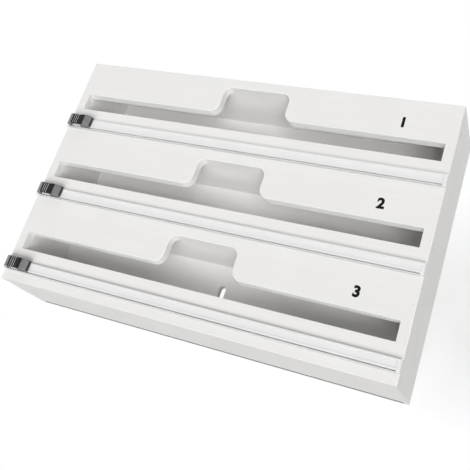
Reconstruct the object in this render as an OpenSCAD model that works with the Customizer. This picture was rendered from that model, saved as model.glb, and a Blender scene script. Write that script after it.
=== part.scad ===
// Three-row wrap organizer: a shallow board case lying on its back, a slotted
// front lid on two butt hinges, and one sliding cutter on a rail below each slot.
// X runs along the slots, Y from the foot edge to the hinge edge, Z out of the front.

/* [Case] */
// Outside width, along the slots
case_w = 340; // [310:1:400]
// Outside height, from the foot edge to the hinge edge
case_h = 216; // [212:1:250]
// Depth from the back face to the front of the closed lid
case_d = 68; // [60:1:90]
// Thickness of the case boards and dividers
board_t = 8; // [7:0.5:10]
// Thickness of the back panel
back_t = 6; // [4:0.5:8]
// Depth of the rabbet in the side and top boards that takes the back panel
back_rabbet = 4; // [2:0.5:5]

/* [Hanging slots] */
// Width of the narrow part of a keyhole
hang_slot_w = 6; // [4:0.5:7]
// Radius of the round entry of a keyhole
hang_entry_r = 5.5; // [5:0.25:7]
// Distance from the entry up to the seat of the screw
hang_run = 12; // [10:0.5:16]
// Distance from the top of a row to the seat of the screw
hang_drop = 28.3; // [24:0.1:34]

/* [Lid] */
// Thickness of the lid board
lid_t = 8; // [7:0.5:10]
// Gap between the closed lid and the case
lid_gap = 0.2; // [0.1:0.05:0.4]
// Distance from the top of a row to its slot
slot_drop = 33.5; // [31:0.5:36]
// Height of a dispensing slot
slot_h = 15; // [10:0.5:17]
// Width of a finger notch
notch_w = 60; // [40:1:90]
// Height of a finger notch above its slot
notch_h = 25; // [18:0.5:27]
// Radius of the inner corners of a finger notch
notch_r = 7; // [2:0.5:9]
// Radius of the flap corners beside a finger notch
flap_r = 9; // [2:0.5:9]

/* [Hinges] */
// Distance from the case end to the middle of a hinge
hinge_inset = 60; // [40:1:90]
// Length of a hinge
hinge_len = 30; // [24:1:40]
// Thickness of a hinge leaf
leaf_t = 1; // [0.8:0.1:1.2]
// Height of the case leaf
case_leaf_h = 12; // [10:0.5:16]
// Outside radius of the knuckles
barrel_r = 1.8; // [1.6:0.1:2]
// Radius of the hinge pin
pin_r = 0.95; // [0.8:0.05:1.1]
// Radial play of the pin in the knuckles
pin_play = 0.05; // [0.03:0.01:0.1]
// Gap between neighbouring knuckles
knuckle_gap = 0.3; // [0.2:0.05:0.5]
// Radius of the screw shank
screw_r = 0.95; // [0.8:0.05:1.1]
// Radius of the screw head
screw_head_r = 1.7; // [1.5:0.05:1.75]
// Length of the screw in the wood
screw_len = 5.5; // [4:0.5:6.5]

/* [Magnets] */
// Radius of a magnet disc
magnet_r = 2.5; // [2:0.1:2.8]
// Thickness of a magnet disc
magnet_t = 3; // [2:0.5:4]
// Distance from the foot edge to the magnets
magnet_inset = 16; // [12:1:40]

/* [Rails] */
// Distance from the top of a row to the middle of its track
rail_drop = 63.7; // [62.5:0.1:64.5]
// Width of the rail head
rail_w = 8; // [7.6:0.2:8.6]
// Reach of the rail base above the middle of the track
base_high = 3.8; // [3.4:0.1:4.6]
// Thickness of the guide lip along the lower edge
lip_w = 0.6; // [0.4:0.1:1]
// Height of the guide lip
lip_h = 2.6; // [1.6:0.1:2.8]
// Width of the rail stem
rail_stem_w = 5.2; // [4.4:0.2:5.6]
// Thickness of the rail base
rail_base_t = 0.6; // [0.5:0.1:1]
// Height of the side grooves
rail_groove_h = 1.3; // [1.2:0.1:2]
// Thickness of the rail head
rail_head_t = 1.2; // [1:0.1:2]
// Width of the blade channel along the rail
channel_w = 4.6; // [3.6:0.2:5.4]
// Depth of the blade channel
channel_depth = 0.5; // [0.4:0.05:0.6]
// Thickness of the adhesive strip under a rail
tape_t = 0.3; // [0.2:0.1:0.6]
// Length of the stop at each rail end
stop_len = 3; // [2.5:0.5:6]

/* [Cutters] */
// Length of a cutter
cutter_len = 24.4; // [23:0.2:30]
// Width of a cutter
cutter_w = 9.2; // [8.6:0.1:10]
// Height of a cutter above the rail head
cutter_h = 6; // [5.5:0.1:7.5]
// Length of the rounded left end
cutter_left = 5.8; // [5.2:0.2:6.4]
// Length of the left foot
left_foot = 4.7; // [4.2:0.1:5.2]
// Length of the sloping right end
cutter_right = 5.9; // [5:0.1:7]
// Fall of the sloping right end
cutter_fall = 2.2; // [1:0.1:2.6]
// Reach of the right foot under the grip
foot_reach = 4.5; // [4:0.1:6]
// Gap above and below the hooks of a shoe
hook_gap = 0.2; // [0.15:0.05:0.3]
// Gap between a shoe and the top and sides of the rail head
shoe_gap = 0.15; // [0.15:0.05:0.3]
// Side wall of a shoe
shoe_wall = 0.5; // [0.5:0.1:1]
// Overhang of the casing past its shoes
shoe_inset = 1.4; // [1:0.1:2.4]
// Width of the thumb grip
grip_w = 9; // [6:0.2:9.2]
// Thickness of the thumb grip
grip_t = 2.2; // [1.8:0.1:2.6]
// Height of the grip ribs
rib_h = 0.6; // [0.3:0.1:0.9]
// Spacing of the grip ribs
rib_pitch = 2.05; // [1.7:0.05:2.3]
// Thickness of a blade
blade_t = 0.4; // [0.3:0.05:0.5]

/* [Hidden] */
$fn = 64;

row_count = 3;
row_pitch = (case_h - board_t) / row_count;
inner_w = case_w - 2 * board_t;
lid_z = case_d - lid_t;
rim_z = lid_z - lid_gap;
cut_over = 1;
glue_gap = 0.1;

hinge_x = case_w / 2 - hinge_inset;
barrel_lift = 0.3;
hinge_y = case_h / 2 + barrel_lift + barrel_r;
hinge_z = lid_z - lid_gap / 2;
knuckle_clear = barrel_r + knuckle_gap;
knuckle_len = (hinge_len - 2 * knuckle_gap) / 3;
leaf_edge = 2.2;
case_leaf_mid = (case_leaf_h + knuckle_clear) / 2;
lid_leaf_top = case_d - leaf_edge - hinge_z;
lid_leaf_mid = (lid_leaf_top + knuckle_clear) / 2;
screw_offset = hinge_len / 4;
screw_clear = 0.05;
recess_w = 0.45;
recess_depth = 0.45;

rail_h = rail_base_t + rail_groove_h + rail_head_t;
rail_len = case_w - 2 * stop_len;

head_top = tape_t + rail_h;
shoe_top_t = 0.4;
stem_gap = 0.6;
shoe_z = head_top + shoe_gap;
casing_z = shoe_z + shoe_top_t;
hook_z = tape_t + rail_base_t + hook_gap;
hook_top = tape_t + rail_base_t + rail_groove_h - hook_gap;
shoe_in = rail_w / 2 + shoe_gap;
shoe_out = shoe_in + shoe_wall;
base_low = shoe_out + shoe_gap + lip_w;
base_w = base_low + base_high;
tape_margin = 0.5;
body_shift = 0.5;
hook_in = rail_stem_w / 2 + stem_gap;
cutter_top = head_top + cutter_h;
grip_end = cutter_len - cutter_right;
foot_start = grip_end - foot_reach;
left_drop = 0.3;
grip_low = cutter_top - left_drop - grip_t;
left_r = cutter_left;
right_r = (cutter_right * cutter_right + cutter_fall * cutter_fall) / (2 * cutter_fall);
web_w = 2.2;
rib_count = 3;
rib_w = 0.7;
rib_start = 1.7;
smooth_margin = 0.4;
blade_side = 0.05;
blade_margin = 0.4;
blade_mid = (left_foot + foot_start) / 2;
blade_half = (foot_start - left_foot) / 2 - blade_margin;
blade_tip_half = 0.5;
blade_grip_h = 1.2;
blade_dip = 0.2;
blade_edge_h = 1.2;
blade_top = casing_z + blade_grip_h;
blade_tip = head_top - blade_dip;
blade_shoulder = blade_tip + blade_edge_h;
cutter_x = -case_w / 2 + stop_len + shoe_gap - shoe_inset;

BOARD = "#e8e7e4";
STEEL = "#b9bcc0";
MAGNET = "#8f9296";
RAIL = "#eef0f2";
TAPE = "#d9dadb";
CASING = "#7b7d80";
GRIP = "#242526";

function row_top(row) = case_h / 2 - row * row_pitch;
function rail_y(row) = row_top(row) - rail_drop;

// A board with mitred ends, drawn for the hinge edge and turned into place.
module mitred_board(length, reach) {
    linear_extrude(rim_z)
        polygon([
            [-length / 2, reach],
            [length / 2, reach],
            [length / 2 - board_t, reach - board_t],
            [board_t - length / 2, reach - board_t]
        ]);
}

// The sheet of the back, let into the side and top boards and run out under the bottom board.
module back_sheet(over = 0) {
    translate([-inner_w / 2 - back_rabbet, -case_h / 2 - over, -over])
        cube([inner_w + 2 * back_rabbet, case_h - board_t + back_rabbet + over, back_t + over]);
}

module keyhole_outline() {
    circle(d = hang_slot_w);
    translate([-hang_slot_w / 2, -hang_run])
        square([hang_slot_w, hang_run]);
    translate([0, -hang_run])
        circle(r = hang_entry_r);
}

module back_panel() {
    color(BOARD)
        difference() {
            back_sheet();
            for (row = [0, row_count - 1])
                translate([0, row_top(row) - hang_drop, -cut_over])
                    linear_extrude(back_t + 2 * cut_over)
                        keyhole_outline();
        }
}

module top_panel() {
    color(BOARD)
        difference() {
            mitred_board(case_w, case_h / 2);
            back_sheet(cut_over);
            for (side = [-1, 1])
                translate([side * hinge_x, case_h / 2, hinge_z - case_leaf_mid])
                    screw_holes();
        }
}

module bottom_panel() {
    color(BOARD)
        difference() {
            rotate([0, 0, 180])
                mitred_board(case_w, case_h / 2);
            back_sheet(cut_over);
        }
}

module side_panel(turn) {
    color(BOARD)
        difference() {
            rotate([0, 0, turn])
                mitred_board(case_h, case_w / 2);
            back_sheet(cut_over);
            magnet_places(rim_z - magnet_t)
                cylinder(r = magnet_r + glue_gap, h = magnet_t + cut_over);
        }
}

module left_side_panel() {
    side_panel(90);
}

module right_side_panel() {
    side_panel(-90);
}

module divider(row) {
    color(BOARD)
        translate([-inner_w / 2, row_top(row) - board_t, back_t])
            cube([inner_w, board_t, rim_z - back_t]);
}

module upper_divider() {
    divider(1);
}

module lower_divider() {
    divider(2);
}

module magnet_places(z) {
    for (side = [-1, 1])
        translate([side * (case_w - board_t) / 2, magnet_inset - case_h / 2, z])
            children();
}

module case_magnets() {
    color(MAGNET)
        magnet_places(rim_z - magnet_t)
            cylinder(r = magnet_r, h = magnet_t);
}

module lid_magnets() {
    color(MAGNET)
        magnet_places(lid_z)
            cylinder(r = magnet_r, h = magnet_t);
}

// Opening of one row: a full-width slot with a round-cornered finger notch above it.
module slot_outline() {
    translate([-inner_w / 2, -slot_h])
        square([inner_w, slot_h]);
    translate([-notch_w / 2, -cut_over])
        square([notch_w, notch_h - notch_r + cut_over]);
    translate([notch_r - notch_w / 2, 0])
        square([notch_w - 2 * notch_r, notch_h]);
    for (side = [-1, 1])
        translate([side * (notch_w / 2 - notch_r), notch_h - notch_r])
            circle(r = notch_r);
    for (side = [0, 1])
        mirror([side, 0])
            difference() {
                translate([notch_w / 2 - cut_over, -cut_over])
                    square([flap_r + cut_over, flap_r + cut_over]);
                translate([notch_w / 2 + flap_r, flap_r])
                    circle(r = flap_r);
            }
}

module lid_panel() {
    color(BOARD)
        difference() {
            translate([0, 0, lid_z])
                linear_extrude(lid_t)
                    difference() {
                        square([case_w, case_h], center = true);
                        for (row = [0 : row_count - 1])
                            translate([0, row_top(row) - slot_drop])
                                slot_outline();
                    }
            magnet_places(lid_z - cut_over)
                cylinder(r = magnet_r + glue_gap, h = magnet_t + cut_over);
            for (side = [-1, 1])
                translate([side * hinge_x, case_h / 2, hinge_z + lid_leaf_mid])
                    screw_holes();
        }
}

// Pilot holes of one hinge leaf, bored into the board from its outer face.
module screw_holes() {
    for (side = [-1, 1])
        translate([side * screw_offset, cut_over, 0])
            rotate([90, 0, 0])
                cylinder(r = screw_r + screw_clear, h = screw_len + screw_clear + cut_over);
}

// Countersunk screw along -Y with its head flush with the outer face of the leaf.
module screw() {
    difference() {
        rotate([90, 0, 0])
            rotate_extrude()
                polygon([
                    [0, -leaf_t],
                    [screw_head_r, -leaf_t],
                    [screw_r, 0],
                    [screw_r, screw_len - screw_r],
                    [0, screw_len]
                ]);
        for (turn = [0, 90])
            rotate([0, turn, 0])
                translate([-screw_r, leaf_t - recess_depth, -recess_w / 2])
                    cube([2 * screw_r, recess_depth + cut_over, recess_w]);
    }
}

module screw_set(z) {
    color(STEEL)
        for (hinge = [-1, 1], side = [-1, 1])
            translate([hinge * hinge_x + side * screw_offset, case_h / 2, z])
                screw();
}

module case_hinge_screws() {
    screw_set(hinge_z - case_leaf_mid);
}

module lid_hinge_screws() {
    screw_set(hinge_z + lid_leaf_mid);
}

// Round barrel along X about the hinge axis.
module barrel(start, length, radius) {
    translate([start, hinge_y, hinge_z])
        rotate([0, 90, 0])
            cylinder(r = radius, h = length);
}

// One leaf: a plate on the outer face of a board and its share of the knuckles.
module hinge_leaf(hinge, knuckles, low, high, screw_z) {
    color(STEEL)
        translate([hinge * hinge_x, 0, 0])
            difference() {
                union() {
                    translate([-hinge_len / 2, case_h / 2, hinge_z + low])
                        cube([hinge_len, leaf_t, high - low]);
                    for (k = knuckles)
                        knuckle(k, low < 0 ? -1 : 1);
                }
                barrel(-hinge_len / 2 - cut_over, hinge_len + 2 * cut_over, pin_r + pin_play);
                for (side = [-1, 1])
                    translate([side * screw_offset, case_h / 2, hinge_z + screw_z])
                        rotate([90, 0, 0])
                            rotate_extrude()
                                polygon([
                                    [0, -leaf_t - cut_over],
                                    [screw_head_r + screw_clear, -leaf_t - cut_over],
                                    [screw_head_r + screw_clear, -leaf_t],
                                    [screw_r + screw_clear, 0],
                                    [screw_r + screw_clear, cut_over],
                                    [0, cut_over]
                                ]);
            }
}

// Knuckle number k of three, with the strip that ties it to its plate.
module knuckle(k, way) {
    start = -hinge_len / 2 + k * (knuckle_len + knuckle_gap);
    barrel(start, knuckle_len, barrel_r);
    translate([start, case_h / 2, way > 0 ? hinge_z : hinge_z - knuckle_clear - cut_over])
        cube([knuckle_len, leaf_t, knuckle_clear + cut_over]);
}

module case_leaf(hinge) {
    hinge_leaf(hinge, [0, 2], -case_leaf_h, -knuckle_clear, -case_leaf_mid);
}

module lid_leaf(hinge) {
    hinge_leaf(hinge, [1], knuckle_clear, lid_leaf_top, lid_leaf_mid);
}

module left_hinge_case_leaf() {
    case_leaf(-1);
}

module right_hinge_case_leaf() {
    case_leaf(1);
}

module left_hinge_lid_leaf() {
    lid_leaf(-1);
}

module right_hinge_lid_leaf() {
    lid_leaf(1);
}

module hinge_pin(hinge) {
    color(STEEL)
        translate([hinge * hinge_x, 0, 0])
            barrel(-hinge_len / 2, hinge_len, pin_r);
}

module left_hinge_pin() {
    hinge_pin(-1);
}

module right_hinge_pin() {
    hinge_pin(1);
}

// Sweeps a cross-section drawn in Y and Z along X, centred on X = 0.
module along_rail(length) {
    rotate([90, 0, 90])
        translate([0, 0, -length / 2])
            linear_extrude(length)
                children();
}

module place_on_lid(row) {
    translate([0, rail_y(row), case_d])
        children();
}

module rail_outline() {
    difference() {
        union() {
            translate([-base_low, 0])
                square([base_w, rail_base_t]);
            translate([-base_low, 0])
                square([lip_w, lip_h]);
            translate([-rail_stem_w / 2, 0])
                square([rail_stem_w, rail_h]);
            translate([-rail_w / 2, rail_base_t + rail_groove_h])
                square([rail_w, rail_head_t]);
        }
        translate([-channel_w / 2, rail_h - channel_depth])
            square([channel_w, channel_depth + cut_over]);
    }
}

module rail(row) {
    color(RAIL)
        place_on_lid(row)
            translate([0, 0, tape_t])
                along_rail(rail_len)
                    rail_outline();
}

module upper_rail() {
    rail(0);
}

module middle_rail() {
    rail(1);
}

module lower_rail() {
    rail(2);
}

module rail_tape(row) {
    color(TAPE)
        place_on_lid(row)
            along_rail(case_w - 2 * tape_margin)
                translate([tape_margin - base_low, 0])
                    square([base_w - 2 * tape_margin, tape_t]);
}

module upper_rail_tape() {
    rail_tape(0);
}

module middle_rail_tape() {
    rail_tape(1);
}

module lower_rail_tape() {
    rail_tape(2);
}

module stop_outline() {
    translate([-base_low, 0])
        square([base_w, rail_base_t]);
    translate([-base_low, 0])
        square([base_low, lip_h]);
    translate([-rail_w / 2, 0])
        square([rail_w, rail_h]);
}

module rail_stops(row) {
    color(RAIL)
        place_on_lid(row)
            for (side = [-1, 1])
                translate([side * (rail_len + stop_len) / 2, 0, tape_t])
                    along_rail(stop_len)
                        stop_outline();
}

module upper_rail_stops() {
    rail_stops(0);
}

module middle_rail_stops() {
    rail_stops(1);
}

module lower_rail_stops() {
    rail_stops(2);
}

module place_cutter(row) {
    place_on_lid(row)
        translate([cutter_x, 0, 0])
            children();
}

// Sweeps a side profile drawn in X and Z to a width centred on the track.
module across_rail(width) {
    rotate([90, 0, 0])
        translate([0, 0, -width / 2])
            linear_extrude(width)
                children();
}

// Rounded left end, standing on a foot that ends short of the grip.
module left_end_outline() {
    intersection() {
        translate([left_r, cutter_top - left_drop - left_r])
            circle(r = left_r);
        union() {
            translate([0, casing_z])
                square([left_foot, cutter_top - casing_z]);
            translate([0, grip_low])
                square([cutter_left, cutter_top - grip_low]);
        }
    }
}

module right_end_outline() {
    intersection() {
        translate([grip_end, cutter_top - right_r])
            circle(r = right_r);
        translate([grip_end, casing_z])
            square([cutter_right, cutter_top - casing_z]);
    }
}

// Underside and top of the thumb grip, falling gently to the left end.
module grip_outline() {
    top_left = cutter_top - left_drop;
    polygon([
        [cutter_left, grip_low],
        [grip_end, cutter_top - grip_t],
        [grip_end, cutter_top],
        [cutter_left + rib_start + rib_count * rib_pitch + smooth_margin, cutter_top - left_drop / 2],
        [cutter_left + rib_start + rib_count * rib_pitch, top_left - rib_h],
        [cutter_left, top_left - rib_h]
    ]);
    for (k = [0 : rib_count - 1])
        translate([cutter_left + rib_start + k * rib_pitch, top_left - grip_t / 2])
            square([rib_w, grip_t / 2 + k * left_drop / (2 * rib_count)]);
}

module web_outline() {
    polygon([
        [cutter_left, casing_z],
        [grip_end, casing_z],
        [grip_end, cutter_top - grip_t],
        [cutter_left, grip_low],
        [left_foot, grip_low],
        [left_foot, casing_z]
    ]);
}

// Right foot of the casing, as high as the underside of the grip above it.
module foot_outline() {
    intersection() {
        web_outline();
        translate([foot_start, casing_z])
            square([foot_reach, cutter_h]);
    }
}

module blade_outline() {
    polygon([
        [blade_mid - blade_half, blade_top],
        [blade_mid + blade_half, blade_top],
        [blade_mid + blade_half, blade_shoulder],
        [blade_mid + blade_tip_half, blade_tip],
        [blade_mid - blade_tip_half, blade_tip],
        [blade_mid - blade_half, blade_shoulder]
    ]);
}

module cutter_casing(row) {
    color(CASING)
        place_cutter(row)
            difference() {
                union() {
                    translate([0, body_shift, 0]) {
                        across_rail(cutter_w)
                            left_end_outline();
                        across_rail(cutter_w)
                            right_end_outline();
                        across_rail(cutter_w)
                            foot_outline();
                    }
                    across_rail(web_w)
                        web_outline();
                }
                across_rail(blade_t + 2 * blade_side)
                    translate([blade_mid - blade_half - blade_side, casing_z - cut_over])
                        square([2 * (blade_half + blade_side), blade_top - casing_z + cut_over]);
            }
}

module cutter_grip(row) {
    color(GRIP)
        place_cutter(row)
            translate([0, body_shift, 0])
                across_rail(grip_w)
                    grip_outline();
}

module shoe_outline() {
    difference() {
        translate([-shoe_out, hook_z])
            square([2 * shoe_out, casing_z - hook_z]);
        translate([-shoe_in, hook_top])
            square([2 * shoe_in, shoe_z - hook_top]);
        translate([-hook_in, hook_z - cut_over])
            square([2 * hook_in, shoe_z - hook_z + cut_over]);
    }
}

module shoe(start, length) {
    translate([start + length / 2, 0, 0])
        along_rail(length)
            shoe_outline();
}

module cutter_shoes(row) {
    color(CASING)
        place_cutter(row) {
            shoe(shoe_inset, left_foot - shoe_inset);
            shoe(foot_start, cutter_len - shoe_inset - foot_start);
        }
}

module cutter_blade(row) {
    color(STEEL)
        place_cutter(row)
            across_rail(blade_t)
                blade_outline();
}

module upper_cutter_casing() {
    cutter_casing(0);
}

module upper_cutter_grip() {
    cutter_grip(0);
}

module upper_cutter_shoes() {
    cutter_shoes(0);
}

module upper_cutter_blade() {
    cutter_blade(0);
}

module middle_cutter_casing() {
    cutter_casing(1);
}

module middle_cutter_grip() {
    cutter_grip(1);
}

module middle_cutter_shoes() {
    cutter_shoes(1);
}

module middle_cutter_blade() {
    cutter_blade(1);
}

module lower_cutter_casing() {
    cutter_casing(2);
}

module lower_cutter_grip() {
    cutter_grip(2);
}

module lower_cutter_shoes() {
    cutter_shoes(2);
}

module lower_cutter_blade() {
    cutter_blade(2);
}

back_panel();
top_panel();
bottom_panel();
left_side_panel();
right_side_panel();
upper_divider();
lower_divider();
case_magnets();
left_hinge_case_leaf();
right_hinge_case_leaf();
left_hinge_pin();
right_hinge_pin();
case_hinge_screws();
lid_panel();
left_hinge_lid_leaf();
right_hinge_lid_leaf();
lid_hinge_screws();
lid_magnets();
upper_rail();
middle_rail();
lower_rail();
upper_rail_tape();
middle_rail_tape();
lower_rail_tape();
upper_rail_stops();
middle_rail_stops();
lower_rail_stops();
upper_cutter_casing();
upper_cutter_grip();
upper_cutter_shoes();
upper_cutter_blade();
middle_cutter_casing();
middle_cutter_grip();
middle_cutter_shoes();
middle_cutter_blade();
lower_cutter_casing();
lower_cutter_grip();
lower_cutter_shoes();
lower_cutter_blade();
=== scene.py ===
# %% [markdown]
# # Kitchen wrap organizer
# A shallow white box lies on its back. Its slotted lid carries three white rails, and a small cutter slides on
# each rail to slice off the wrap. The imported CAD model comes in first as a fixed frame, so every piece below is
# made straight in its place, in metres.

# %% Load the frame
import math

import bmesh
import bpy
from mathutils import Matrix, Vector


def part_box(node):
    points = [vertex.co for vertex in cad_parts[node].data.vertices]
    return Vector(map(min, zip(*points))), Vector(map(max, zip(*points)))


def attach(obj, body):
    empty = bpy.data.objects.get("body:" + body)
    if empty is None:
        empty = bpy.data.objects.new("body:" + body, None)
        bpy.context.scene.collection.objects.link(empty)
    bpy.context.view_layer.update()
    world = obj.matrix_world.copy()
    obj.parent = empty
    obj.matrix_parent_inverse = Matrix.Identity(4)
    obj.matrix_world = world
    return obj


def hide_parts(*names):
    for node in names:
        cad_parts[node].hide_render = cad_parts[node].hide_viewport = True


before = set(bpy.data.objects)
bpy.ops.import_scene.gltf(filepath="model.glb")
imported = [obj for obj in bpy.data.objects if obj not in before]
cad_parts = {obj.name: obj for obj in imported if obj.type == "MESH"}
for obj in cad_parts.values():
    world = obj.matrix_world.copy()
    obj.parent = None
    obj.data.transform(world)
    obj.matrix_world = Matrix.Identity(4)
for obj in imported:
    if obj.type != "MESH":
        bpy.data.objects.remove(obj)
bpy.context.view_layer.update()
MM = 0.001

# %% [markdown]
# ## Camera
# The photograph looks down on the front from the right of the foot edge. A camera can be aimed by hand, with an
# empty as a target, or from measured corners. Here its place, turn and lens are fitted to the corners of the
# front and to the two back edges that show, with the case at its real size, so the render and the photograph lie
# on each other. The lens shift says that the photograph was cropped off centre.

# %% Camera at the photograph's place
CAMERA_PLACE = Vector((0.26219, -0.18923, 0.58731))
CAMERA_RIGHT = Vector((0.89433, 0.31366, -0.31906))
CAMERA_UP = Vector((-0.15795, 0.88854, 0.43076))
CAMERA_BACK = Vector((0.41860, -0.33483, 0.84419))
CAMERA_LENS = 58.561
CAMERA_SHIFT = (0.0062, -0.1191)
SENSOR_WIDTH = 36.0

lens = bpy.data.cameras.new("photo_camera")
lens.sensor_width = SENSOR_WIDTH
lens.lens = CAMERA_LENS
lens.shift_x, lens.shift_y = CAMERA_SHIFT
camera = bpy.data.objects.new("photo_camera", lens)
bpy.context.scene.collection.objects.link(camera)
turn = Matrix((CAMERA_RIGHT, CAMERA_UP, CAMERA_BACK)).transposed()
camera.matrix_world = Matrix.Translation(CAMERA_PLACE) @ turn.to_4x4()
bpy.context.scene.camera = camera
print("camera", round(CAMERA_PLACE.length, 2), "m from the middle of the back")

# %% [markdown]
# ## Daylight tent
# White goods are often shot in a tent of white cloth, where light comes from all round and the shadows are pale.
# A weak world of one even brightness stands for the cloth. Area lamps could shine through it, but their light
# falls off along a wide box, so these are sun lamps, each with a broad angle that keeps its shadows soft. The one
# beside the camera reaches into the slots. The next two put the faces in order, front lightest, foot edge next,
# right side darkest, and the broadest fills the shadows from the hinge side. The Standard view keeps colours as
# they are written. Rays from the camera, and those from shiny pieces, see plain white instead of the cloth.

# %% Shader node helpers
WHITE = (1.0, 1.0, 1.0, 1.0)
PLAIN_WHITE = 1.0


def add_node(tree, kind, inputs=None, **settings):
    """A shader node with its settings, its input values, and links where an input is another node's output."""
    node = tree.nodes.new(kind)
    for name, value in settings.items():
        setattr(node, name, value)
    for name, value in (inputs or {}).items():
        if isinstance(value, bpy.types.NodeSocket):
            tree.links.new(value, node.inputs[name])
        else:
            node.inputs[name].default_value = value
    return node


def combine(tree, operation, first, second):
    """Two varying values as one: added, multiplied, or the larger of the two."""
    return add_node(tree, "ShaderNodeMath", {0: first, 1: second}, operation=operation).outputs[0]


def seen_directly(tree):
    """1 for rays from the camera or off a shiny or clear piece, and 0 for rays that light other things."""
    path = add_node(tree, "ShaderNodeLightPath").outputs
    mirror = combine(tree, "MAXIMUM", path["Is Camera Ray"], path["Is Glossy Ray"])
    return combine(tree, "MAXIMUM", mirror, path["Is Transmission Ray"])


def mix_shaders(tree, share, first, second):
    """A Mix Shader of two surfaces or backgrounds."""
    return add_node(tree, "ShaderNodeMixShader", {"Fac": share, 1: first.outputs[0], 2: second.outputs[0]})


print("white is", WHITE, "at a strength of", PLAIN_WHITE)

# %% Cloth of the tent
TENT_LIGHT = 0.05

bpy.context.scene.view_settings.view_transform = "Standard"
tent = bpy.data.worlds.new("daylight_tent")
tent.use_nodes = True
tree = tent.node_tree
tree.nodes.clear()
cloth = add_node(tree, "ShaderNodeBackground", {"Color": WHITE, "Strength": TENT_LIGHT})
backdrop = add_node(tree, "ShaderNodeBackground", {"Color": WHITE, "Strength": PLAIN_WHITE})
shown = mix_shaders(tree, seen_directly(tree), cloth, backdrop)
add_node(tree, "ShaderNodeOutputWorld", {"Surface": shown.outputs[0]})
bpy.context.scene.world = tent
print("cloth gives", TENT_LIGHT, "from all round")

# %% Lamps
# For each lamp: the way from the case to it, how broad it looks in degrees, and its strength.
LAMPS = {
    "camera_side_lamp": (Vector((0.40, -0.40, 0.82)), 24.0, 1.56),
    "right_side_lamp": (Vector((0.60, -0.45, 0.66)), 30.0, 0.60),
    "foot_side_lamp": (Vector((0.05, -0.70, 0.71)), 30.0, 0.95),
    "hinge_side_lamp": (Vector((0.0, 0.50, 0.87)), 90.0, 0.90),
}

for name, (way, breadth, strength) in LAMPS.items():
    lamp_data = bpy.data.lights.new(name, "SUN")
    lamp_data.angle = math.radians(breadth)
    lamp_data.energy = strength
    lamp = bpy.data.objects.new(name, lamp_data)
    bpy.context.scene.collection.objects.link(lamp)
    lamp.matrix_world = way.to_track_quat("Z", "Y").to_matrix().to_4x4()
    print(name, "stands", round(math.degrees(math.asin(way.normalized().z))), "degrees above the floor")

# %% [markdown]
# ## Paper floor
# The case lies on seamless white paper. A plain diffuse plane would turn grey away from the lamps, so what the
# camera sees is pure white everywhere but in one round patch beside the right side. There the paper is a darker
# grey, a painted shadow, which also takes the real soft shadow of the case, and it clears to white towards the rim
# of the patch. A small second sheet under the case glows a little less than white, as painted light in the
# keyholes in the back, where the case would shade the paper. Light that bounces off either sheet comes from plain
# paper alone.

# %% Paper helpers
PAPER_BOUNCE = (0.50, 0.50, 0.49, 1.0)


def new_paper(name, shown_surface):
    """Plain paper for the light that bounces off it, and the given surface for what is seen directly."""
    paper = bpy.data.materials.new(name)
    paper.use_nodes = True
    tree = paper.node_tree
    tree.nodes.clear()
    bounce = add_node(tree, "ShaderNodeBsdfDiffuse", {"Color": PAPER_BOUNCE})
    surface = mix_shaders(tree, seen_directly(tree), bounce, shown_surface(tree))
    add_node(tree, "ShaderNodeOutputMaterial", {"Surface": surface.outputs[0]})
    return paper


def lay_sheet(name, size, lift, paper):
    """A square of paper below the case, raised by the lift."""
    bm = bmesh.new()
    bmesh.ops.create_grid(bm, x_segments=1, y_segments=1, size=size / 2)
    bmesh.ops.translate(bm, verts=bm.verts, vec=(0.0, 0.0, lift))
    mesh = bpy.data.meshes.new(name)
    bm.to_mesh(mesh)
    bm.free()
    mesh.materials.append(paper)
    sheet = bpy.data.objects.new(name, mesh)
    bpy.context.scene.collection.objects.link(sheet)
    print(name, size, "m square")


print("paper sends back", PAPER_BOUNCE[0], "of the light")

# %% Floor
FLOOR_SIZE = 6.0
FLOOR_LIFT = 0.0
# The patch paper is greyer than lit white: a painted shadow beside the right side of the case.
PAINTED_SHADOW_GREY = (0.75, 0.75, 0.75, 1.0)
PAINTED_SHADOW_PLACE = (0.21, -0.022, 0.0)
PAINTED_SHADOW_CORE, PAINTED_SHADOW_RIM = 0.03, 0.095


def white_with_shadow(tree):
    """Darker paper as a painted shadow round its place, pure white past the rim, and a blend in between."""
    shaded = add_node(tree, "ShaderNodeBsdfDiffuse", {"Color": PAINTED_SHADOW_GREY})
    white = add_node(tree, "ShaderNodeEmission", {"Color": WHITE, "Strength": PLAIN_WHITE})
    place = add_node(tree, "ShaderNodeTexCoord").outputs["Object"]
    away = add_node(tree, "ShaderNodeVectorMath", {0: place, 1: PAINTED_SHADOW_PLACE}, operation="DISTANCE")
    limits = {"Value": away.outputs["Value"], "From Min": PAINTED_SHADOW_CORE, "From Max": PAINTED_SHADOW_RIM}
    cleared = add_node(tree, "ShaderNodeMapRange", limits)
    return mix_shaders(tree, cleared.outputs["Result"], shaded, white)


lay_sheet("paper_floor", FLOOR_SIZE, FLOOR_LIFT, new_paper("white_paper", white_with_shadow))

# %% Sheet of painted light below the keyholes
# This sheet glows as painted light in the keyholes, where the case would shade the paper.
KEYHOLE_GLOW = 0.96
KEYHOLE_SHEET_SIZE = 0.19
KEYHOLE_SHEET_LIFT = 0.1 * MM


def keyhole_white(tree):
    """A glow a little under pure white, as painted light for the keyholes."""
    return add_node(tree, "ShaderNodeEmission", {"Color": WHITE, "Strength": KEYHOLE_GLOW})


lay_sheet("keyhole_glow_sheet", KEYHOLE_SHEET_SIZE, KEYHOLE_SHEET_LIFT, new_paper("painted_keyhole_glow", keyhole_white))

# %% [markdown]
# ## Shared surface effects
# Nothing real has one flat colour. Three small effects come back in most of the finishes here: soft speckle, long
# drawn lines, and rubbed edges. Each could be wired again in every material, but a node group is built once and
# placed with its own values, so a change reaches all the finishes together. Each group puts out a number that
# varies over the surface, and the material decides what to do with it.

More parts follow.
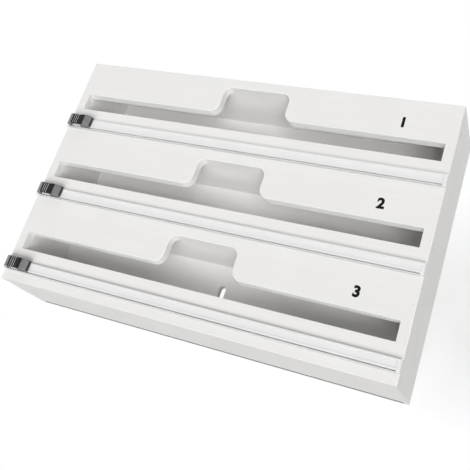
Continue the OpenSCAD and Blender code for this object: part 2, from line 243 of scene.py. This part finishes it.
# %% Group helpers
VECTOR, FLOAT = "NodeSocketVector", "NodeSocketFloat"
NOISE_LOW, NOISE_HIGH = 0.32, 0.68


def new_group(name, inputs, output):
    """An empty shader node group with named inputs and one output."""
    group = bpy.data.node_groups.new(name, "ShaderNodeTree")
    for label, kind in inputs.items():
        group.interface.new_socket(label, in_out="INPUT", socket_type=kind)
    group.interface.new_socket(output, in_out="OUTPUT", socket_type=FLOAT)
    start = group.nodes.new("NodeGroupInput")
    end = group.nodes.new("NodeGroupOutput")
    print("group:", name)
    return group, start.outputs, end.inputs[output]


def spread(tree, noise, low, high):
    """Noise stays near its middle, so its middle part is stretched to run from low to high."""
    limits = {"Value": noise.outputs["Fac"], "From Min": NOISE_LOW, "From Max": NOISE_HIGH,
              "To Min": low, "To Max": high}
    return add_node(tree, "ShaderNodeMapRange", limits).outputs["Result"]


# %% Speckle
SPECKLE_DETAIL = 3.0

speckle, given, result = new_group(
    "speckle", {"Place": VECTOR, "Fineness": FLOAT, "Low": FLOAT, "High": FLOAT}, "Value")
noise = add_node(speckle, "ShaderNodeTexNoise", {
    "Vector": given["Place"], "Scale": given["Fineness"], "Detail": SPECKLE_DETAIL})
speckle.links.new(spread(speckle, noise, given["Low"], given["High"]), result)

# %% Drawn lines
LINE_SCALE = 1.0
LINE_DETAIL = 2.0

drawn_lines, given, result = new_group(
    "drawn_lines", {"Place": VECTOR, "Stretch": VECTOR, "Low": FLOAT, "High": FLOAT}, "Value")
drawn = add_node(
    drawn_lines, "ShaderNodeVectorMath", {0: given["Place"], 1: given["Stretch"]}, operation="MULTIPLY")
noise = add_node(drawn_lines, "ShaderNodeTexNoise", {
    "Vector": drawn.outputs[0], "Scale": LINE_SCALE, "Detail": LINE_DETAIL})
drawn_lines.links.new(spread(drawn_lines, noise, given["Low"], given["High"]), result)

# %% Rubbed edges and painted light
# The same edge mask also carries the painted highlights on the rib crests and the painted light on the rolled ends
# of the cutters.
RUB_DETAIL = 2.0
THIN_RUB, FULL_RUB = 0.35, 1.0

edge_wear_and_painted_light, given, result = new_group(
    "edge_wear_and_painted_light", {"Edge": FLOAT, "Place": VECTOR, "Fineness": FLOAT, "Amount": FLOAT}, "Mask")
noise = add_node(edge_wear_and_painted_light, "ShaderNodeTexNoise", {
    "Vector": given["Place"], "Scale": given["Fineness"], "Detail": RUB_DETAIL})
broken = combine(edge_wear_and_painted_light, "MULTIPLY", spread(edge_wear_and_painted_light, noise, THIN_RUB, FULL_RUB), given["Edge"])
edge_wear_and_painted_light.links.new(combine(edge_wear_and_painted_light, "MULTIPLY", broken, given["Amount"]), result)

# %% [markdown]
# ## How a finish is put together
# Each finish is one Principled surface. Its colour runs between two close shades, its roughness wanders a little,
# its bump comes from speckle and drawn lines, and its eased edges are a touch paler where hands rub them. All of
# it reads Object coordinates, so the pattern has a real size in metres and stays put when a piece moves. Values
# that are the same all over, such as Metallic, are set on the surface itself. A small helper takes these few
# choices, because thirteen finishes would otherwise repeat the same dozen nodes.

# %% Finish helper
EASED = "eased"
OPAQUE = 1.0
FULL_RANGE = {"Low": 0.0, "High": 1.0}
GLOSS_FINENESS = 2.0
# In a Mix node that mixes colours, these are the numbers of the sockets in use.
MIX_SHARE, MIX_FIRST, MIX_SECOND, MIX_RESULT = 0, 6, 7, 2


def place_group(tree, group, **inputs):
    """One of the shared groups in a material, with its own values."""
    return add_node(tree, "ShaderNodeGroup", inputs, node_tree=group).outputs[0]


def mix_colours(tree, share, first, second):
    """A colour between two colours, by a share that varies."""
    ends = [end if isinstance(end, bpy.types.NodeSocket) else (*end, OPAQUE) for end in (first, second)]
    inputs = {MIX_SHARE: share, MIX_FIRST: ends[0], MIX_SECOND: ends[1]}
    return add_node(tree, "ShaderNodeMix", inputs, data_type="RGBA").outputs[MIX_RESULT]


def new_finish(name, dark, pale, mottle, lines, rough, grit, bump, edge=None, rub=None, fixed=None):
    """A surface with two shades, wandering roughness, a fine bump and, if an edge shade is given, rubbed edges."""
    finish = bpy.data.materials.new(name)
    finish.use_nodes = True
    tree = finish.node_tree
    shader = tree.nodes["Principled BSDF"]
    for socket, value in (fixed or {}).items():
        shader.inputs[socket].default_value = value
    place = add_node(tree, "ShaderNodeTexCoord").outputs["Object"]
    patches = place_group(tree, speckle, Place=place, Fineness=mottle, **FULL_RANGE)
    strokes = place_group(tree, drawn_lines, Place=place, Stretch=lines, **FULL_RANGE)
    colour = mix_colours(tree, combine(tree, "MULTIPLY", patches, strokes), dark, pale)
    if edge:
        eased = add_node(tree, "ShaderNodeAttribute", attribute_name=EASED).outputs["Fac"]
        rubbed = place_group(tree, edge_wear_and_painted_light, Edge=eased, Place=place, Fineness=mottle, Amount=rub)
        colour = mix_colours(tree, rubbed, colour, edge)
    tree.links.new(colour, shader.inputs["Base Color"])
    gloss = place_group(
        tree, speckle, Place=place, Fineness=mottle * GLOSS_FINENESS, Low=rough[0], High=rough[1])
    tree.links.new(gloss, shader.inputs["Roughness"])
    grain = place_group(tree, speckle, Place=place, Fineness=grit, **FULL_RANGE)
    relief = add_node(tree, "ShaderNodeBump", {
        "Height": combine(tree, "ADD", grain, strokes), "Strength": bump[0], "Distance": bump[1]})
    tree.links.new(relief.outputs["Normal"], shader.inputs["Normal"])
    print("finish:", name)
    return finish


# %% [markdown]
# ## White lacquer
# The case and the lid are thin boards under satin white lacquer. In the photograph the white is slightly warm,
# with very faint lines along the boards where the grain shows through. Two whites a few percent apart, long
# strokes along X and a shallow orange-peel bump give that without making the boards look dirty. The bays take
# a second, whiter coat, which is painted light, since the photograph shows pale walls deep in the slots. The edge
# of the back sheet along the foot has no lacquer, and its dark colour is painted shade where the case meets the
# paper.

# %% White lacquer
lacquer = new_finish(
    "white_lacquer", dark=(0.762, 0.754, 0.738), pale=(0.790, 0.783, 0.770), edge=(0.82, 0.815, 0.80), rub=0.5,
    mottle=26.0, lines=(5.0, 420.0, 420.0), rough=(0.36, 0.50), grit=900.0, bump=(0.06, 0.0002),
    fixed={"IOR": 1.48})
# The bay coat is whiter than the outer lacquer: painted light deep in the bays and slots.
bay_lacquer_painted_light = new_finish(
    "bay_lacquer_painted_light", dark=(0.935, 0.928, 0.916), pale=(0.952, 0.947, 0.938), edge=(0.95, 0.945, 0.935), rub=0.5,
    mottle=26.0, lines=(5.0, 420.0, 420.0), rough=(0.42, 0.56), grit=900.0, bump=(0.06, 0.0002))
# This dark finish is painted shade for the line where the case meets the paper.
painted_foot_shade = new_finish(
    "painted_foot_shade", dark=(0.19, 0.19, 0.188), pale=(0.27, 0.27, 0.268), edge=(0.30, 0.30, 0.298), rub=0.5,
    mottle=160.0, lines=(40.0, 900.0, 900.0), rough=(0.70, 0.85), grit=1400.0, bump=(0.15, 0.0002))

# %% [markdown]
# ## Copying a solid and easing its edges
# A CAD solid has knife edges, and no sawn board has. The node's own mesh stays as it is, so each piece starts from
# a copy: its loose triangles are joined, its flat faces are made whole, and the bevel operator then rounds the
# edges that are picked. A Bevel modifier could do this too, but here some edges of one board need a larger
# radius than others. The new faces are marked, so that a finish can find the rubbed edges.

# %% Copy and ease helpers
MERGE = 1e-6
FLAT = math.radians(1.0)
SHARP = math.radians(28.0)
EASED_STEPS, FEW_STEPS = 3, 2
FULL_EDGE_TINT, HALF_RUBBED, UNTOUCHED = 1.0, 0.5, 0.0


def solid_copy(node):
    """A bmesh of a node's CAD solids, joined and with whole flat faces."""
    bm = bmesh.new()
    bm.from_mesh(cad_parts[node].data)
    bmesh.ops.remove_doubles(bm, verts=bm.verts, dist=MERGE)
    bmesh.ops.dissolve_limit(bm, angle_limit=FLAT, verts=bm.verts, edges=bm.edges)
    bm.loops.layers.float.new(EASED)
    return bm


def sharp_edges(bm, wanted=None):
    """The edges where two faces meet at a clear angle, and that the test wants."""
    found = [e for e in bm.edges if len(e.link_faces) == 2 and e.calc_face_angle() > SHARP]
    return [e for e in found if wanted is None or wanted(e)]


def ease(bm, edges, radius, segments=EASED_STEPS):
    """Rounds the edges, and marks the middle of the new faces as rubbed."""
    made = bmesh.ops.bevel(bm, geom=edges, offset=radius, offset_type="OFFSET", segments=segments,
                           profile=0.5, affect="EDGES", material=-1, clamp_overlap=True)
    fresh = set(made["faces"])
    mark = bm.loops.layers.float[EASED]
    for face in fresh:
        for corner in face.loops:
            corner[mark] = FULL_EDGE_TINT if fresh.issuperset(corner.vert.link_faces) else HALF_RUBBED


print("solids to copy:", len(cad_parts))

# %% Piece helper
# Where a piece has more than one finish, its faces name theirs by these numbers.
FIRST_FINISH, SECOND_FINISH, THIRD_FINISH = 0, 1, 2


def make_piece(name, bm, body, finishes, slot, *nodes):
    """The finished object: smooth over eased edges, flat on flat faces, riding on its body."""
    mesh = bpy.data.meshes.new(name)
    bm.to_mesh(mesh)
    bm.free()
    mesh.shade_smooth()
    mesh.set_sharp_from_angle(angle=SHARP)
    for finish in finishes:
        mesh.materials.append(finish)
    piece = bpy.data.objects.new(name, mesh)
    bpy.context.scene.collection.objects.link(piece)
    flat = piece.modifiers.new("flat_faces", "WEIGHTED_NORMAL")
    flat.keep_sharp = True
    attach(piece, body)
    if nodes:
        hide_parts(*nodes)
    print("piece:", name, len(mesh.polygons), "faces")


# %% [markdown]
# ## Case boards
# Four boards with mitred corners, a back sheet let into them and two dividers make the open box with three bays.
# Each board is a copy of its solid with lightly sanded edges. The rim under the lid keeps a very small radius,
# because the photograph shows no line where the lid closes, and the edges at the floor get a larger one. The back
# sheet runs out under the bottom board, and its edge is coloured dark as painted shade, for the thin dark line
# along the foot where the case meets the paper. Short edges belong to bored holes and stay sharp.

# %% Case measures and tests
NEAR = 0.05 * MM
UPRIGHT = 0.05
SHORTEST_BOARD_EDGE = 5 * MM
lid_lo, lid_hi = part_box("lid_panel")
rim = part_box("top_panel")[1].z
outer_lo, outer_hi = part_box("left_side_panel")[0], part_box("right_side_panel")[1]
bay_x, bay_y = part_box("upper_divider")[1].x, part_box("top_panel")[0].y


def at_height(edge, z):
    """Both ends of the edge are at this height."""
    return all(abs(v.co.z - z) < NEAR for v in edge.verts)


def on_outside(edge):
    """The edge runs along an outer face of the case."""
    a, b = (v.co for v in edge.verts)
    across = min(a.x, b.x) > outer_hi.x - NEAR or max(a.x, b.x) < outer_lo.x + NEAR
    return across or min(a.y, b.y) > outer_hi.y - NEAR or max(a.y, b.y) < outer_lo.y + NEAR


def long_edges(bm, wanted=None):
    """The sharp edges that the test wants, without those of bored holes."""
    return [e for e in sharp_edges(bm, wanted) if e.calc_length() > SHORTEST_BOARD_EDGE]


def line_inside(bm):
    """The faces that look into a bay or a slot get the second finish of their piece, the whiter coat of painted
    light.
    """
    for face in bm.faces:
        middle = face.calc_center_median()
        inside = abs(middle.x) < bay_x + NEAR and abs(middle.y) < bay_y + NEAR and middle.z > NEAR
        lined = inside and (abs(face.normal.z) < UPRIGHT or middle.z < lid_lo.z + NEAR)
        face.material_index = SECOND_FINISH if lined else FIRST_FINISH


print("bays reach", round(bay_x / MM, 1), "and", round(bay_y / MM, 1), "mm from the middle")

# %% Outer boards
FLOOR_EDGE, FLOOR_STEPS = 1.0 * MM, 4
RIM_EDGE = 0.12 * MM

for node in ("top_panel", "bottom_panel", "left_side_panel", "right_side_panel"):
    bm = solid_copy(node)
    at_floor = long_edges(bm, lambda e: at_height(e, outer_lo.z) and on_outside(e))
    ease(bm, at_floor, FLOOR_EDGE, FLOOR_STEPS)
    ease(bm, long_edges(bm, lambda e: at_height(e, rim)), RIM_EDGE, FEW_STEPS)
    line_inside(bm)
    make_piece(node.replace("panel", "board"), bm, "case", (lacquer, bay_lacquer_painted_light), "white_board", node)

# %% Back sheet and bay walls
BOARD_EDGE = 0.35 * MM


def eased_board(node):
    """A board with all its long edges eased and its bay side lined."""
    bm = solid_copy(node)
    ease(bm, long_edges(bm), BOARD_EDGE)
    line_inside(bm)
    return bm


bm = eased_board("back_panel")
# The sheet's edge along the foot takes the third finish, a dark painted shade.
for face in bm.faces:
    if face.calc_center_median().y < outer_lo.y + BOARD_EDGE:
        face.material_index = THIRD_FINISH
make_piece("back_board", bm, "case", (lacquer, bay_lacquer_painted_light, painted_foot_shade), "white_board", "back_panel")

for level in ("upper", "lower"):
    node = f"{level}_divider"
    make_piece(f"{level}_bay_wall", eased_board(node), "case", (lacquer, bay_lacquer_painted_light), "white_board", node)

# %% [markdown]
# ## Slotted lid
# One board closes the front, with a slot and a finger notch for each roll. Wrap is pulled over the upper lip of
# the slot and over the notch, so the maker rounds that lip well, while the lower lip stays crisp. The solid
# already has the round notch corners, so only the radius of each lip is chosen here, edge by edge. The walls of
# the slots and the side that looks into the bays take the whiter coat, which is painted light.

# %% Slotted lid
PULL_LIP, PULL_STEPS = 1.6 * MM, 5
CRISP_LIP = 0.35 * MM
LID_EDGE = 0.6 * MM
LID_UNDER = 0.15 * MM
FACING = 0.5


def wall_beside(edge):
    """The way the upright face beside a front edge looks."""
    return min((face.normal for face in edge.link_faces), key=lambda normal: abs(normal.z))


def is_pull_lip(edge):
    """Upper lip of a slot, with the notch: at the front, off the rim, and not facing the hinge edge."""
    at_end = all(abs(v.co.x) > bay_x - NEAR for v in edge.verts)
    return at_height(edge, lid_hi.z) and not on_outside(edge) and not at_end and wall_beside(edge).y < FACING


bm = solid_copy("lid_panel")
ease(bm, sharp_edges(bm, is_pull_lip), PULL_LIP, PULL_STEPS)
ease(bm, sharp_edges(bm, lambda e: at_height(e, lid_hi.z) and not on_outside(e)), CRISP_LIP, FEW_STEPS)
ease(bm, sharp_edges(bm, lambda e: at_height(e, lid_hi.z) and on_outside(e)), LID_EDGE)
ease(bm, sharp_edges(bm, lambda e: at_height(e, lid_lo.z)), LID_UNDER, FEW_STEPS)
line_inside(bm)
make_piece("slotted_lid", bm, "lid", (lacquer, bay_lacquer_painted_light), "white_board", "lid_panel")

# %% [markdown]
# ## Row numbers
# Each row has a plain bold number printed in black at its right end. Text starts as a curve, and an offset makes
# its strokes bolder. It is turned into a mesh first, then scaled, and an extrusion gives the ink its thin film.
# Only after that is it moved to its place in the mesh, half sunk into the lacquer so that no gap shows.

# %% Printing ink
ink = new_finish(
    "black_ink", dark=(0.002, 0.002, 0.002), pale=(0.006, 0.006, 0.006),
    mottle=300.0, lines=(60.0, 420.0, 420.0), rough=(0.62, 0.78), grit=1800.0, bump=(0.05, 0.0001),
    fixed={"Specular IOR Level": 0.10})

# %% Row numbers
NUMBER_HEIGHT = 9.0 * MM
NUMBER_X = 127.0 * MM
NUMBER_Y = (87.7 * MM, 18.4 * MM, -51.0 * MM)
NUMBER_WEIGHT = 0.050
NUMBER_CURVE_STEPS = 10
INK_FILM = 0.03 * MM


def number_mesh(text):
    """A bold figure as a flat mesh."""
    outline = bpy.data.curves.new("number_outline", "FONT")
    outline.body = text
    outline.offset = NUMBER_WEIGHT
    outline.resolution_u = NUMBER_CURVE_STEPS
    writing = bpy.data.objects.new("number_outline", outline)
    bpy.context.scene.collection.objects.link(writing)
    shape = bpy.data.meshes.new_from_object(writing.evaluated_get(bpy.context.evaluated_depsgraph_get()))
    bpy.data.objects.remove(writing)
    return shape


def printed_number(text, x, y):
    """The figure as a thin film of ink on the front of the lid."""
    bm = bmesh.new()
    bm.from_mesh(number_mesh(text))
    bmesh.ops.remove_doubles(bm, verts=bm.verts, dist=MERGE)
    lo = Vector([min(v.co[i] for v in bm.verts) for i in range(3)])
    hi = Vector([max(v.co[i] for v in bm.verts) for i in range(3)])
    size = NUMBER_HEIGHT / (hi.y - lo.y)
    bmesh.ops.translate(bm, verts=bm.verts, vec=-(lo + hi) / 2)
    bmesh.ops.scale(bm, verts=bm.verts, vec=(size, size, size))
    grown = bmesh.ops.extrude_face_region(bm, geom=bm.faces[:])
    raised = [v for v in grown["geom"] if isinstance(v, bmesh.types.BMVert)]
    bmesh.ops.translate(bm, verts=raised, vec=(0.0, 0.0, 2 * INK_FILM))
    bmesh.ops.recalc_face_normals(bm, faces=bm.faces)
    bmesh.ops.translate(bm, verts=bm.verts, vec=(x, y, lid_hi.z - INK_FILM))
    return bm


for number, y in enumerate(NUMBER_Y, start=1):
    bm = printed_number(str(number), NUMBER_X, y)
    make_piece(f"row_number_{number}", bm, "lid", (ink,), "grip_plastic")

# %% [markdown]
# ## Rails
# Below each slot an extruded plastic rail is stuck to the lid. A thin guide lip stands along its lower side, with
# a slit behind it, and the flat head beside the slit has a shallow channel for the blade. An extrusion has small
# round edges and faint lines along its length, from the die. The outer side of the lip takes a second, darker
# finish, as painted shade along the lower side of the rail. A foam strip holds the rail down, and a stop closes
# each end. The strips keep their CAD mesh, because nothing of them shows but a thin edge.

# %% Rail plastic and foam
rail_plastic = new_finish(
    "drawn_white_plastic", dark=(0.745, 0.745, 0.742), pale=(0.785, 0.785, 0.783), edge=(0.81, 0.81, 0.81),
    rub=0.4, mottle=60.0, lines=(4.0, 1400.0, 1400.0), rough=(0.42, 0.54), grit=1500.0, bump=(0.05, 0.0001))
# The darker lip finish is painted shade along the lower side of each rail.
lip_painted_shade = new_finish(
    "white_plastic_painted_shade", dark=(0.57, 0.57, 0.568), pale=(0.65, 0.65, 0.648), edge=(0.68, 0.68, 0.68), rub=0.4,
    mottle=60.0, lines=(4.0, 1400.0, 1400.0), rough=(0.60, 0.72), grit=1500.0, bump=(0.08, 0.0001))
foam = new_finish(
    "foam_strip", dark=(0.58, 0.58, 0.57), pale=(0.72, 0.72, 0.71),
    mottle=900.0, lines=(300.0, 300.0, 300.0), rough=(0.80, 0.95), grit=2600.0, bump=(0.35, 0.0002))

# %% Rails and stops
ROWS = ("upper", "middle", "lower")
RAIL_EDGE = 0.12 * MM
STOP_EDGE = 0.30 * MM

for row in ROWS:
    bm = solid_copy(f"{row}_rail")
    ease(bm, sharp_edges(bm), RAIL_EDGE, FEW_STEPS)
    lip_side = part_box(f"{row}_rail")[0].y
    # The outer side of the lip takes the painted shade.
    for face in bm.faces:
        on_lip = abs(face.calc_center_median().y - lip_side) < NEAR
        face.material_index = SECOND_FINISH if on_lip else FIRST_FINISH
    make_piece(f"{row}_cutter_track", bm, "lid", (rail_plastic, lip_painted_shade), "rail_plastic", f"{row}_rail")
    bm = solid_copy(f"{row}_rail_stops")
    ease(bm, sharp_edges(bm), STOP_EDGE)
    make_piece(f"{row}_track_ends", bm, "lid", (rail_plastic,), "rail_plastic", f"{row}_rail_stops")
    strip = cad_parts[f"{row}_rail_tape"]
    strip.data.materials.clear()
    strip.data.materials.append(foam)

# %% [markdown]
# ## Slide cutters
# A grey moulded casing carries a black ribbed thumb grip, and two hooks reach round the rail head. The blade
# stands in the middle and dips into the channel. Mouldings have soft edges and a fine spark texture. The crests
# of the ribs are painted pale, as painted highlights that show as thin light lines on the black, and the rolled
# end of the casing is painted lighter, as painted light. Its other end face is painted darker, as painted shade.
# The end of a hook is one C-shaped face, so it is cut into triangles, and no program can then fill its mouth.

# %% Cutter finishes
# The edge shade is wear on the eased edges and painted light on the rolled end of the casing.
casing_plastic = new_finish(
    "grey_moulding", dark=(0.135, 0.138, 0.142), pale=(0.175, 0.178, 0.183), edge=(0.30, 0.305, 0.31), rub=0.8,
    mottle=260.0, lines=(300.0, 300.0, 300.0), rough=(0.34, 0.48), grit=3200.0, bump=(0.12, 0.0001))
# The pale edge shade of the grip paints highlights on the rib crests.
grip_plastic = new_finish(
    "black_grip", dark=(0.005, 0.005, 0.0055), pale=(0.012, 0.012, 0.0125), edge=(0.58, 0.58, 0.58), rub=1.0,
    mottle=420.0, lines=(200.0, 900.0, 900.0), rough=(0.40, 0.56), grit=3600.0, bump=(0.10, 0.0001),
    fixed={"Specular IOR Level": 0.16})
# This darker finish is painted shade on the end face of the casing.
end_face_painted_shade = new_finish(
    "end_face_shade_paint", dark=(0.030, 0.030, 0.031), pale=(0.045, 0.045, 0.046), edge=(0.09, 0.09, 0.09), rub=0.4,
    mottle=260.0, lines=(300.0, 300.0, 300.0), rough=(0.46, 0.60), grit=3200.0, bump=(0.12, 0.0001),
    fixed={"Specular IOR Level": 0.30})
blade_steel = new_finish(
    "ground_blade", dark=(0.50, 0.51, 0.52), pale=(0.66, 0.67, 0.68), edge=(0.78, 0.78, 0.79), rub=0.8,
    mottle=300.0, lines=(60.0, 60.0, 5200.0), rough=(0.18, 0.32), grit=2600.0, bump=(0.08, 0.0001),
    fixed={"Metallic": 1.0})

# %% Last touches
LEVEL = 0.9
WIDEST_CREST = 0.9 * MM
CREST_DROP = 0.45 * MM
ROLL_REACH = 5.0 * MM


def polish_crests(bm):
    """The tops of the ribs, narrow level faces near the top of the grip, take the pale edge shade as painted
    highlights.
    """
    mark = bm.loops.layers.float[EASED]
    top = max(v.co.z for v in bm.verts)
    for face in bm.faces:
        xs = [v.co.x for v in face.verts]
        narrow = max(xs) - min(xs) < WIDEST_CREST
        crest = narrow and face.normal.z > LEVEL and face.calc_center_median().z > top - CREST_DROP
        for corner in face.loops:
            corner[mark] = FULL_EDGE_TINT if crest else UNTOUCHED


def finish_ends(bm):
    """The end face that looks along the rail gets the darker second finish as painted shade, and the rolled end
    takes the paler edge shade as painted light.
    """
    mark = bm.loops.layers.float[EASED]
    roll = min(v.co.x for v in bm.verts) + ROLL_REACH
    for face in bm.faces:
        face.material_index = SECOND_FINISH if face.normal.x > LEVEL else FIRST_FINISH
        if face.normal.z > 0.0 and face.calc_center_median().x < roll:
            for corner in face.loops:
                corner[mark] = FULL_EDGE_TINT


def cut_hook_faces(bm):
    """All faces become triangles, also the C-shaped ends."""
    bmesh.ops.triangulate(bm, faces=bm.faces)


print("crests are under", round(WIDEST_CREST / MM, 2), "mm wide")

# %% Cutters
CASING_EDGE = 0.45 * MM
RIB_EDGE = 0.10 * MM
HOOK_EDGE = 0.20 * MM
BLADE_EDGE = 0.06 * MM
# For each part: its node, its piece, the radius of its edges, its finishes, its slot, and its last touch.
CUTTER_PARTS = (
    ("casing", "cutter_cover", CASING_EDGE, (casing_plastic, end_face_painted_shade), "casing_plastic", finish_ends),
    ("grip", "thumb_grip", RIB_EDGE, (grip_plastic,), "grip_plastic", polish_crests),
    ("shoes", "rail_hooks", HOOK_EDGE, (casing_plastic,), "casing_plastic", cut_hook_faces),
    ("blade", "cutting_blade", BLADE_EDGE, (blade_steel,), "blade_steel", None),
)

for row in ROWS:
    for part, name, radius, finishes, slot, touch in CUTTER_PARTS:
        bm = solid_copy(f"{row}_cutter_{part}")
        ease(bm, sharp_edges(bm), radius)
        if touch:
            touch(bm)
        make_piece(f"{row}_{name}", bm, f"{row}_cutter", finishes, slot, f"{row}_cutter_{part}")

# %% [markdown]
# ## Hinges and magnets
# Two small butt hinges on the hinge edge let the lid swing open, and pairs of magnet discs hold it shut. They are
# nickel plated. The plate is brushed along the leaf and worn bright on its edges, and the discs are smoother.
# Their shapes are in the solids, so each copy only has its edges eased, by less than a fingernail would feel.

# %% Metal finishes
hinge_nickel = new_finish(
    "brushed_nickel", dark=(0.50, 0.49, 0.47), pale=(0.64, 0.63, 0.61), edge=(0.78, 0.77, 0.75), rub=0.8,
    mottle=120.0, lines=(40.0, 2600.0, 2600.0), rough=(0.24, 0.38), grit=2400.0, bump=(0.08, 0.0001),
    fixed={"Metallic": 1.0})
magnet_nickel = new_finish(
    "bright_nickel", dark=(0.56, 0.56, 0.55), pale=(0.68, 0.68, 0.67), edge=(0.80, 0.80, 0.79), rub=0.8,
    mottle=420.0, lines=(500.0, 500.0, 500.0), rough=(0.14, 0.28), grit=3000.0, bump=(0.06, 0.0001),
    fixed={"Metallic": 1.0})

# %% Hinges and magnets
LEAF_EDGE = 0.12 * MM
PIN_EDGE = 0.25 * MM
SCREW_EDGE = 0.05 * MM
MAGNET_EDGE = 0.20 * MM
HINGE_PARTS = (("case_leaf", "case", LEAF_EDGE), ("pin", "case", PIN_EDGE), ("lid_leaf", "lid", LEAF_EDGE))

for side in ("left", "right"):
    for part, body, radius in HINGE_PARTS:
        node = f"{side}_hinge_{part}"
        bm = solid_copy(node)
        ease(bm, sharp_edges(bm), radius, FEW_STEPS)
        make_piece(f"{side}_butt_hinge_{part}", bm, body, (hinge_nickel,), "hinge_steel", node)
for body in ("case", "lid"):
    bm = solid_copy(f"{body}_hinge_screws")
    ease(bm, sharp_edges(bm), SCREW_EDGE, FEW_STEPS)
    make_piece(f"{body}_leaf_screws", bm, body, (hinge_nickel,), "hinge_steel", f"{body}_hinge_screws")
    bm = solid_copy(f"{body}_magnets")
    ease(bm, sharp_edges(bm), MAGNET_EDGE)
    make_piece(f"{body}_catch_discs", bm, body, (magnet_nickel,), "magnet_metal", f"{body}_magnets")
